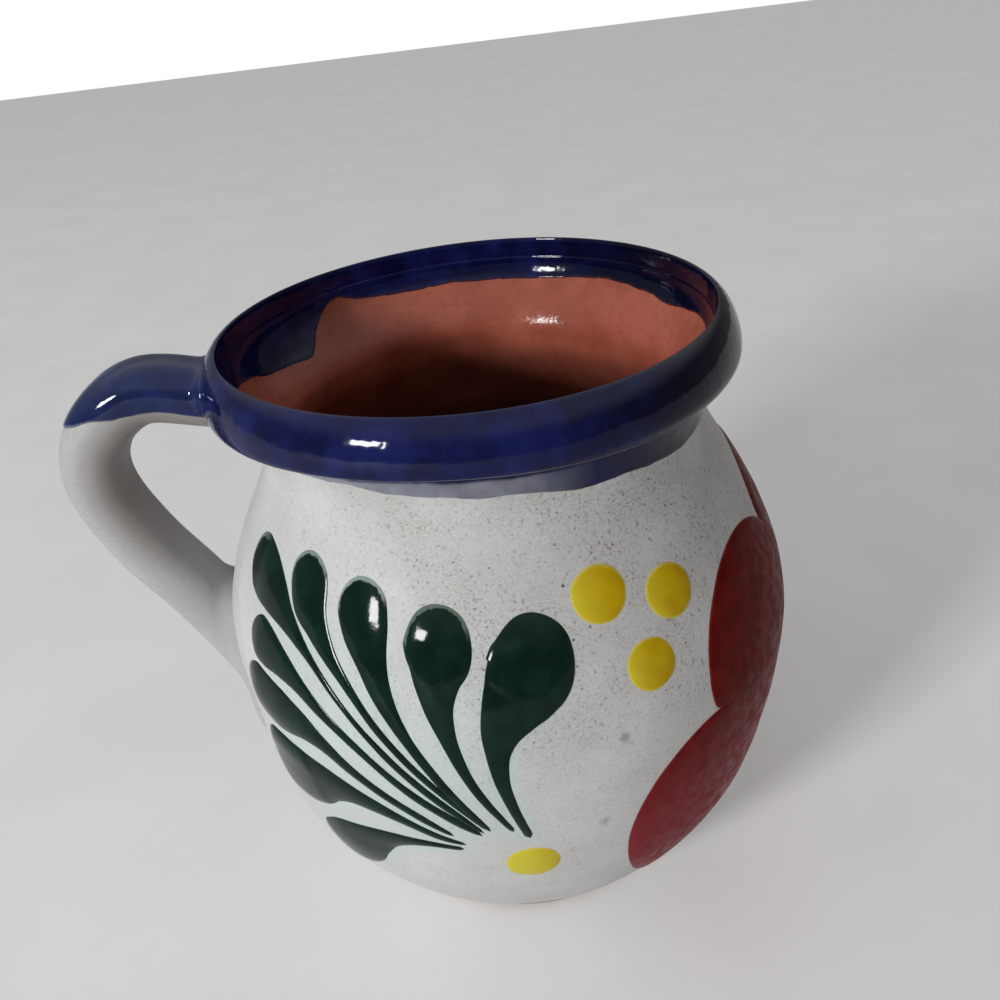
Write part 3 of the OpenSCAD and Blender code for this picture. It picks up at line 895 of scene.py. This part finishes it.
def make_eye(material):
    """Yellow eye in the middle of the flower."""
    mesh, layers = new_mesh("edge", "light")

    def place_at(u, v, lift):
        return skin(u * petal_turn / petal_l, flower_z + v, lift)

    disc(mesh, layers, eye_lemon, 32, place_at, eye_r, eye_r)
    piece("flower_eye_dab", mesh, material, "yellow_paint", "flower_eye")


# Finishes

floor_glow = 0.12


def wire(tree, socket, value):
    """Links a socket to another node's output, or sets it."""
    if isinstance(value, bpy.types.NodeSocket):
        tree.links.new(value, socket)
    else:
        socket.default_value = value


def add(tree, kind, output, inputs=(), **settings):
    """Adds a shader node, sets and wires its inputs by name, and returns one of its outputs."""
    made = tree.nodes.new("ShaderNode" + kind)
    for name, value in settings.items():
        setattr(made, name, value)
    for name, value in dict(inputs).items():
        wire(tree, made.inputs[name], value)
    return made.outputs[output]


def blend(tree, share, first, second):
    """A colour between two colours."""
    made = tree.nodes.new("ShaderNodeMix")
    made.data_type = "RGBA"
    for socket, value in ((made.inputs[0], share), (made.inputs[6], first), (made.inputs[7], second)):
        wire(tree, socket, value if isinstance(value, (float, bpy.types.NodeSocket)) else (*value, 1))
    return made.outputs[2]


def ramp(tree, value, low, high, start=0.0, end=1.0):
    """A value's way from low to high, softly stopped at both ends."""
    spans = {"Value": value, "From Min": low, "From Max": high, "To Min": start, "To Max": end}
    return add(tree, "MapRange", "Result", spans, interpolation_type="SMOOTHSTEP")


def maths(tree, operation, first, second):
    made = tree.nodes.new("ShaderNodeMath")
    made.operation = operation
    wire(tree, made.inputs[0], first)
    wire(tree, made.inputs[1], second)
    return made.outputs[0]


def times(tree, first, second):
    return maths(tree, "MULTIPLY", first, second)


def plus(tree, first, second):
    return maths(tree, "ADD", first, second)


def axes_of(tree, vector):
    """The X, Y and Z shares of a place or a direction."""
    parts = tree.nodes.new("ShaderNodeSeparateXYZ")
    wire(tree, parts.inputs[0], vector)
    return parts.outputs


def clouds(tree, where, gap, detail=3.0, roughness=0.5):
    """Soft noise whose patches lie about gap millimetres apart."""
    inputs = {"Vector": where, "Scale": 1 / (gap * MM), "Detail": detail, "Roughness": roughness}
    return add(tree, "TexNoise", 0, inputs)


def patches(tree, where, gap, low, high, start=0.0, end=1.0, detail=3.0, roughness=0.5):
    """Clouds drawn apart: start where they are below low, end where they are above high."""
    return ramp(tree, clouds(tree, where, gap, detail, roughness), low, high, start, end)


def specks(tree, where, gap, radius, share):
    """Mask of scattered round specks, gap millimetres apart, of which a share is there."""
    cells = tree.nodes.new("ShaderNodeTexVoronoi")
    for name, value in {"Vector": where, "Scale": 1 / (gap * MM), "Randomness": 1.0}.items():
        wire(tree, cells.inputs[name], value)
    parts = tree.nodes.new("ShaderNodeSeparateColor")
    wire(tree, parts.inputs[0], cells.outputs["Color"])
    near = maths(tree, "LESS_THAN", cells.outputs["Distance"], times(tree, parts.outputs[1], radius / gap))
    return times(tree, near, maths(tree, "LESS_THAN", parts.outputs[0], share))


def vector_maths(tree, operation, output, *values):
    made = tree.nodes.new("ShaderNodeVectorMath")
    made.operation = operation
    for socket, value in zip(made.inputs, values):
        wire(tree, socket, value)
    return made.outputs[output]


def shaken(tree, where, gap, far):
    """Places shifted about by up to far millimetres, which make round specks ragged."""
    shifts = add(tree, "TexNoise", "Color", {"Vector": where, "Scale": 1 / (gap * MM), "Detail": 1.0})
    return vector_maths(tree, "MULTIPLY_ADD", "Vector", shifts, (2 * far * MM,) * 3, where)


def value_of(tree, name):
    """A piece's own vertex value."""
    return add(tree, "Attribute", "Fac", attribute_name=name)


def dress(tree, shader, colour, roughness, height, depth):
    """Wires a finish's colour, its roughness and a pattern of bumps as deep as given, in millimetres."""
    bumps = add(tree, "Bump", "Normal", {"Height": height, "Strength": 1.0, "Distance": depth * MM})
    wire(tree, shader.inputs["Base Color"], colour)
    wire(tree, shader.inputs["Roughness"], roughness)
    wire(tree, shader.inputs["Normal"], bumps)


def seen_share(tree, rays):
    """1 for rays from the camera, also by way of a gloss, and 0 for those that only light the pot."""
    seen = plus(tree, plus(tree, rays["Is Camera Ray"], rays["Is Glossy Ray"]), rays["Is Transmission Ray"])
    return maths(tree, "MINIMUM", seen, 1.0)


def finish(name, index):
    """A new material of a refractive index, with its node tree, its shader and the places on its piece."""
    made = bpy.data.materials.new(name)
    made.use_nodes = True
    tree = made.node_tree
    shader = tree.nodes["Principled BSDF"]
    shader.inputs["IOR"].default_value = index
    return made, tree, shader, add(tree, "TexCoord", "Object")


# Iron spots and grey smudges in the slip: turn, height, radius, strength
STAINS = [
    (280.6, 81.3, 0.4, 1.0), (266.5, 85, 0.28, 0.9), (302, 83, 0.3, 0.9), (307, 71, 0.34, 0.8),
    (287.5, 59, 1.5, 0.5), (283, 42.5, 1.6, 0.4), (277.3, 36.5, 1.3, 0.45),
]


def slip_finish(name, tone):
    """Matte cream slip with iron specks, soft clouding and a pale green bloom beside the strokes."""
    made, tree, shader, where = finish(name, 1.45)

    def toned(*colour):
        return tuple(channel * tone for channel in colour)

    cream, pale, dusty = toned(0.60, 0.60, 0.59), toned(0.66, 0.66, 0.65), toned(0.48, 0.46, 0.44)
    minty, sand, pit = toned(0.53, 0.64, 0.60), toned(0.40, 0.38, 0.36), toned(0.13, 0.11, 0.10)
    iron, iron_lump, stain = (0.07, 0.06, 0.055), (0.06, 0.05, 0.045), (0.11, 0.10, 0.09)
    smoke, inner_shade_colour = (0.30, 0.30, 0.28), (0.25, 0.232, 0.22)

    colour = blend(tree, patches(tree, where, 16, 0.35, 0.65), cream, pale)
    colour = blend(tree, patches(tree, where, 0.9, 0.3, 0.8, 0.0, 0.3), colour, dusty)
    bled = times(tree, value_of(tree, "bloom"), patches(tree, where, 4, 0.25, 0.6, 0.45, 0.9))
    colour = blend(tree, bled, colour, minty)

    # Sand and iron show most high up and towards the flower
    axes = axes_of(tree, where)
    high = ramp(tree, axes["Z"], 38 * MM, 78 * MM, 0.35, 1.0)
    flower_side = ramp(tree, axes["X"], -34 * MM, 0.0, 0.35, 1.0)
    there = times(tree, times(tree, high, flower_side), patches(tree, where, 9, 0.35, 0.65, 0.45, 1.0))
    ragged_place = shaken(tree, where, 0.25, 0.14)
    broken_place = shaken(tree, where, 1.1, 0.9)
    sandy = patches(tree, where, 0.34, 0.3, 0.7, 0.0, 0.85, detail=4.0, roughness=0.7)
    colour = blend(tree, times(tree, sandy, there), colour, sand)
    pitted = patches(tree, where, 0.62, 0.56, 0.64, 0.0, 0.75, detail=4.0, roughness=0.75)
    colour = blend(tree, times(tree, pitted, there), colour, pit)
    grains = times(tree, specks(tree, ragged_place, 1.3, 0.25, 0.55), there)
    colour = blend(tree, times(tree, grains, 0.78), colour, iron)
    lumps = specks(tree, ragged_place, 7, 0.45, 0.45)
    colour = blend(tree, times(tree, lumps, 0.85), colour, iron_lump)
    for turn, z, radius, strength in STAINS:
        near = broken_place if radius > 1 else ragged_place
        away = vector_maths(tree, "DISTANCE", "Value", near, skin(turn, z))
        colour = blend(tree, ramp(tree, away, 0.3 * radius * MM, radius * MM, strength, 0.0), colour, stain)
    smudged = patches(tree, where, 6.5, 0.66, 0.76, 0.0, 0.3, detail=4.0, roughness=0.65)
    colour = blend(tree, smudged, colour, smoke)
    # Painted shade on the strap's inner face
    colour = blend(tree, value_of(tree, "inner_shade"), colour, inner_shade_colour)

    height = plus(tree, clouds(tree, where, 0.5), clouds(tree, where, 3.5))
    dress(tree, shader, colour, patches(tree, where, 5, 0.3, 0.7, 0.5, 0.66), height, 0.045)
    return made


def blue_finish(name, deep, cobalt, index):
    """Cobalt glaze: mottled, painted darker as shade towards the flower, grey where thin, and brown at its
    inner edge.
    """
    made, tree, shader, where = finish(name, index)
    blue_in_painted_shade, over_slip, pale_edge, brown_edge = (
        (0.0015, 0.002, 0.009), (0.27, 0.28, 0.33), (0.30, 0.30, 0.36), (0.08, 0.025, 0.02),
    )
    colour = blend(tree, patches(tree, where, 6, 0.34, 0.74, detail=5.0, roughness=0.6), deep, cobalt)
    # Painted shade: towards the flower's side, away from the window, the glaze is darkened
    flower_side = ramp(tree, axes_of(tree, where)["X"], 6 * MM, 34 * MM, 0.0, 0.88)
    colour = blend(tree, flower_side, colour, blue_in_painted_shade)
    streaks = patches(tree, where, 2.2, 0.3, 0.7, 0.75, 1.0, detail=4.0)
    colour = blend(tree, times(tree, value_of(tree, "thin"), streaks), colour, over_slip)
    outer = ramp(tree, value_of(tree, "outer_edge"), 0.45, 0.95, 0.0, 0.4)
    colour = blend(tree, outer, colour, pale_edge)
    grain = patches(tree, where, 0.5, 0.35, 0.65, 0.2, 0.9)
    inner = times(tree, ramp(tree, value_of(tree, "inner_edge"), 0.1, 0.8), grain)
    colour = blend(tree, inner, colour, brown_edge)
    gloss = patches(tree, where, 1.6, 0.3, 0.75, 0.05, 0.11)
    dress(tree, shader, colour, gloss, clouds(tree, where, 3.2, 2.0), 0.09)
    return made


def lining_finish():
    """Terracotta under clear glaze: clouded, dark lower down, partly where the glaze pooled thick and
    partly as painted shade of the deep inside, and rippled.
    """
    made, tree, shader, where = finish("clear-glazed clay", 1.3)
    clay, light_clay, burnt = (0.32, 0.082, 0.050), (0.42, 0.118, 0.074), (0.20, 0.05, 0.03)
    pooled_glaze_and_shade, lime, iron = (0.03, 0.012, 0.014), (0.62, 0.5, 0.42), (0.07, 0.03, 0.02)
    colour = blend(tree, patches(tree, where, 12, 0.35, 0.65), clay, light_clay)
    colour = blend(tree, patches(tree, where, 1.3, 0.45, 0.8, 0.0, 0.35), colour, burnt)
    # Painted shade of the deep inside, together with glaze pooled thick there: darker below about 79 mm
    deep_shade_share = ramp(tree, axes_of(tree, where)["Z"], 79 * MM, 66 * MM, 0.0, 0.93)
    colour = blend(tree, deep_shade_share, colour, pooled_glaze_and_shade)
    colour = blend(tree, times(tree, specks(tree, where, 5.5, 0.32, 0.3), 0.8), colour, lime)
    colour = blend(tree, times(tree, specks(tree, where, 2.6, 0.22, 0.3), 0.8), colour, iron)
    height = plus(tree, clouds(tree, where, 2.4, 2.0), clouds(tree, where, 0.8, 2.0))
    dress(tree, shader, colour, patches(tree, where, 2, 0.3, 0.7, 0.12, 0.25), height, 0.055)
    return made


def bare_finish():
    """Bare fired clay of the foot, dusty and pitted; its main tone is the clay's own colour painted darker
    as shade under the belly.
    """
    made, tree, shader, where = finish("bare clay", 1.45)
    # The main clay tone is partly painted shade where the belly overhangs the foot
    clay, dust, pit = (0.22, 0.10, 0.06), (0.34, 0.18, 0.11), (0.14, 0.07, 0.05)
    colour = blend(tree, patches(tree, where, 4, 0.3, 0.7), clay, dust)
    colour = blend(tree, specks(tree, where, 1.1, 0.3, 0.35), colour, pit)
    roughness = patches(tree, where, 3, 0.3, 0.7, 0.75, 0.9)
    dress(tree, shader, colour, roughness, clouds(tree, where, 0.7, 5.0), 0.12)
    return made


def enamel_finish(name, body, rich, light, fringe, fringe_w, gloss, index):
    """Brushed enamel: two clouded tones, a lighter tone that is partly painted light, and a pale edge."""
    made, tree, shader, where = finish(name, index)
    dried_tip = (0.27, 0.33, 0.30)
    colour = blend(tree, patches(tree, where, 3.5, 0.32, 0.68, detail=4.0), body, rich)
    # The light value paints light: the dabs' lit left sides and the petals' sheen; it also holds the lemon
    # dabs' own tone
    colour = blend(tree, value_of(tree, "light"), colour, light)
    edge = plus(tree, value_of(tree, "edge"), patches(tree, where, 0.9, 0.3, 0.7, -0.1, 0.1))
    colour = blend(tree, ramp(tree, edge, 0.0, fringe_w, 0.85, 0.0), colour, fringe)
    tip = times(tree, ramp(tree, edge, 0.4, 0.62, 1.0, 0.0), value_of(tree, "fringe"))
    colour = blend(tree, tip, colour, dried_tip)
    roughness = patches(tree, where, 2, 0.3, 0.7, gloss, 1.8 * gloss)
    dress(tree, shader, colour, roughness, clouds(tree, where, 1.8, 2.0), 0.025)
    return made


def floor_finish():
    """Pale, matte studio paper, which the camera and the glosses see a little paler still."""
    made, tree, shader, where = finish("pale paper", 1.4)
    colour = blend(tree, patches(tree, where, 40, 0.3, 0.7), (0.80, 0.80, 0.79), (0.84, 0.84, 0.83))
    wire(tree, shader.inputs["Base Color"], colour)
    wire(tree, shader.inputs["Roughness"], patches(tree, where, 5, 0.3, 0.7, 0.7, 0.8))
    rays = tree.nodes.new("ShaderNodeLightPath").outputs
    shader.inputs["Emission Color"].default_value = (1, 1, 1, 1)
    wire(tree, shader.inputs["Emission Strength"], times(tree, seen_share(tree, rays), floor_glow))
    return made


# Making everything

slip = slip_finish("pale slip", 1)
# Painted shade: the strap's slip is a darker copy of the pot's slip, for the lesser light that falls on the
# strap
strap_slip = slip_finish("shaded copy of the slip on the strap", 0.76)
rim_blue = blue_finish("cobalt glaze", (0.002, 0.0035, 0.034), (0.008, 0.012, 0.094), 1.28)
handle_blue = blue_finish("cobalt glaze of the handle", (0.006, 0.012, 0.060), (0.014, 0.026, 0.120), 1.33)
green = enamel_finish(
    "green enamel",
    body=(0.002, 0.012, 0.007),
    rich=(0.004, 0.021, 0.014),
    light=(0.01, 0.04, 0.03),
    fringe=(0.01, 0.03, 0.022),
    fringe_w=0.15,
    gloss=0.06,
    index=1.22,
)
yellow = enamel_finish(
    "yellow enamel",
    body=(0.51, 0.32, 0.002),
    rich=(0.57, 0.38, 0.003),
    # The light tone is painted light on the dabs' left sides, and the lemon dabs' own tone
    light=(0.62, 0.54, 0.04),
    fringe=(0.62, 0.55, 0.12),
    fringe_w=0.45,
    gloss=0.3,
    index=1.2,
)
red = enamel_finish(
    "red enamel",
    body=(0.10, 0.004, 0.002),
    rich=(0.14, 0.008, 0.005),
    # The light tone is painted sheen low on the petals
    light=(0.22, 0.020, 0.028),
    # On the petals the pale edge is partly the enamel's thin edge and partly a painted highlight along it
    fringe=(0.17, 0.03, 0.034),
    fringe_w=0.35,
    gloss=0.3,
    index=1.12,
)

make_thrown_body(bare_finish())
make_slip_skin(slip)
make_rim_glaze(rim_blue)
make_liner(lining_finish())
make_handle_slip(strap_slip)
make_handle_glaze(handle_blue)
for number, leaf in enumerate(BRUSHED, 1):
    make_stroke(f"leaf_stroke_{number}", leaf, 1, green, f"leaf_{number}")
    make_stroke(f"back_leaf_stroke_{number}", leaf, -1, green, f"back_leaf_{number}")
make_dots("yellow_dabs", 1, yellow, "yellow_dots")
make_dots("back_yellow_dabs", -1, yellow, "back_yellow_dots")
for number, name in enumerate(["top", "upper", "lower", "bottom"]):
    make_petal(f"red_petal_{name}", number, 1, red, f"petal_{name}")
for number, name in [(1, "upper"), (2, "lower")]:
    make_petal(f"back_red_petal_{name}", number, -1, red, f"back_petal_{name}")
make_eye(yellow)

# Floor, light and camera, in metres and degrees

floor_size = 3.0
window_turn = 224
window_rise = 20.5
window_far = 1.2
window_w = 0.22
window_h = 0.15
window_radiance = 83
film_mm = 36
lens_mm = 36.537
camera_place = (-0.002787, -0.158339, 0.164065)
camera_angles = (59.89182, 5.97695, -4.85650)


def make_floor():
    mesh = bmesh.new()
    bmesh.ops.create_grid(mesh, x_segments=4, y_segments=4, size=floor_size / 2)
    data = bpy.data.meshes.new("floor")
    mesh.to_mesh(data)
    mesh.free()
    data.materials.append(floor_finish())
    floor = bpy.data.objects.new("floor", data)
    bpy.context.scene.collection.objects.link(floor)


def make_window():
    """A soft rectangle of light that looks at the belly of the pot from the handle's side."""
    a, b = math.radians(window_turn), math.radians(window_rise)
    away = Vector((math.cos(a) * math.cos(b), math.sin(a) * math.cos(b), math.sin(b)))
    lamp = bpy.data.lights.new("window", "AREA")
    lamp.shape = "RECTANGLE"
    lamp.size = window_w
    lamp.size_y = window_h
    lamp.energy = window_radiance * math.pi * window_w * window_h
    lamp.color = (1.0, 1.0, 0.99)
    window = bpy.data.objects.new("window", lamp)
    window.location = Vector((0, 0, belly_z * MM)) + away * window_far
    window.rotation_euler = away.to_track_quat("Z", "Y").to_euler()
    window.visible_camera = False
    bpy.context.scene.collection.objects.link(window)


def make_room():
    """Even light all round, brightest above, cool from the handle's side and warm from the flower's."""
    world = bpy.data.worlds.new("room")
    world.use_nodes = True
    tree = world.node_tree
    axes = axes_of(tree, add(tree, "TexCoord", "Generated"))
    cool, warm, overhead = (0.27, 0.28, 0.295), (0.17, 0.15, 0.13), (0.42, 0.42, 0.43)
    colour = blend(tree, ramp(tree, axes["X"], -0.6, 0.8), cool, warm)
    colour = blend(tree, ramp(tree, axes["Z"], 0.3, 0.95), colour, overhead)

    # The camera sees white all round, and the glosses see it above
    rays = tree.nodes.new("ShaderNodeLightPath").outputs
    above = times(tree, seen_share(tree, rays), ramp(tree, axes["Z"], 0.25, 0.7))
    white = maths(tree, "MAXIMUM", above, rays["Is Camera Ray"])
    colour = blend(tree, white, colour, (1.0, 1.0, 1.0))
    background = tree.nodes["Background"]
    wire(tree, background.inputs["Color"], colour)
    background.inputs["Strength"].default_value = 1
    bpy.context.scene.world = world


def make_camera():
    """The photograph's view."""
    data = bpy.data.cameras.new("camera")
    data.sensor_width = film_mm
    data.lens = lens_mm
    data.clip_start = 0.01
    camera = bpy.data.objects.new("camera", data)
    camera.location = camera_place
    camera.rotation_euler = Euler([math.radians(angle) for angle in camera_angles])
    bpy.context.scene.collection.objects.link(camera)
    bpy.context.scene.camera = camera


make_floor()
make_window()
make_room()
make_camera()
bpy.context.scene.view_settings.view_transform = "Standard"
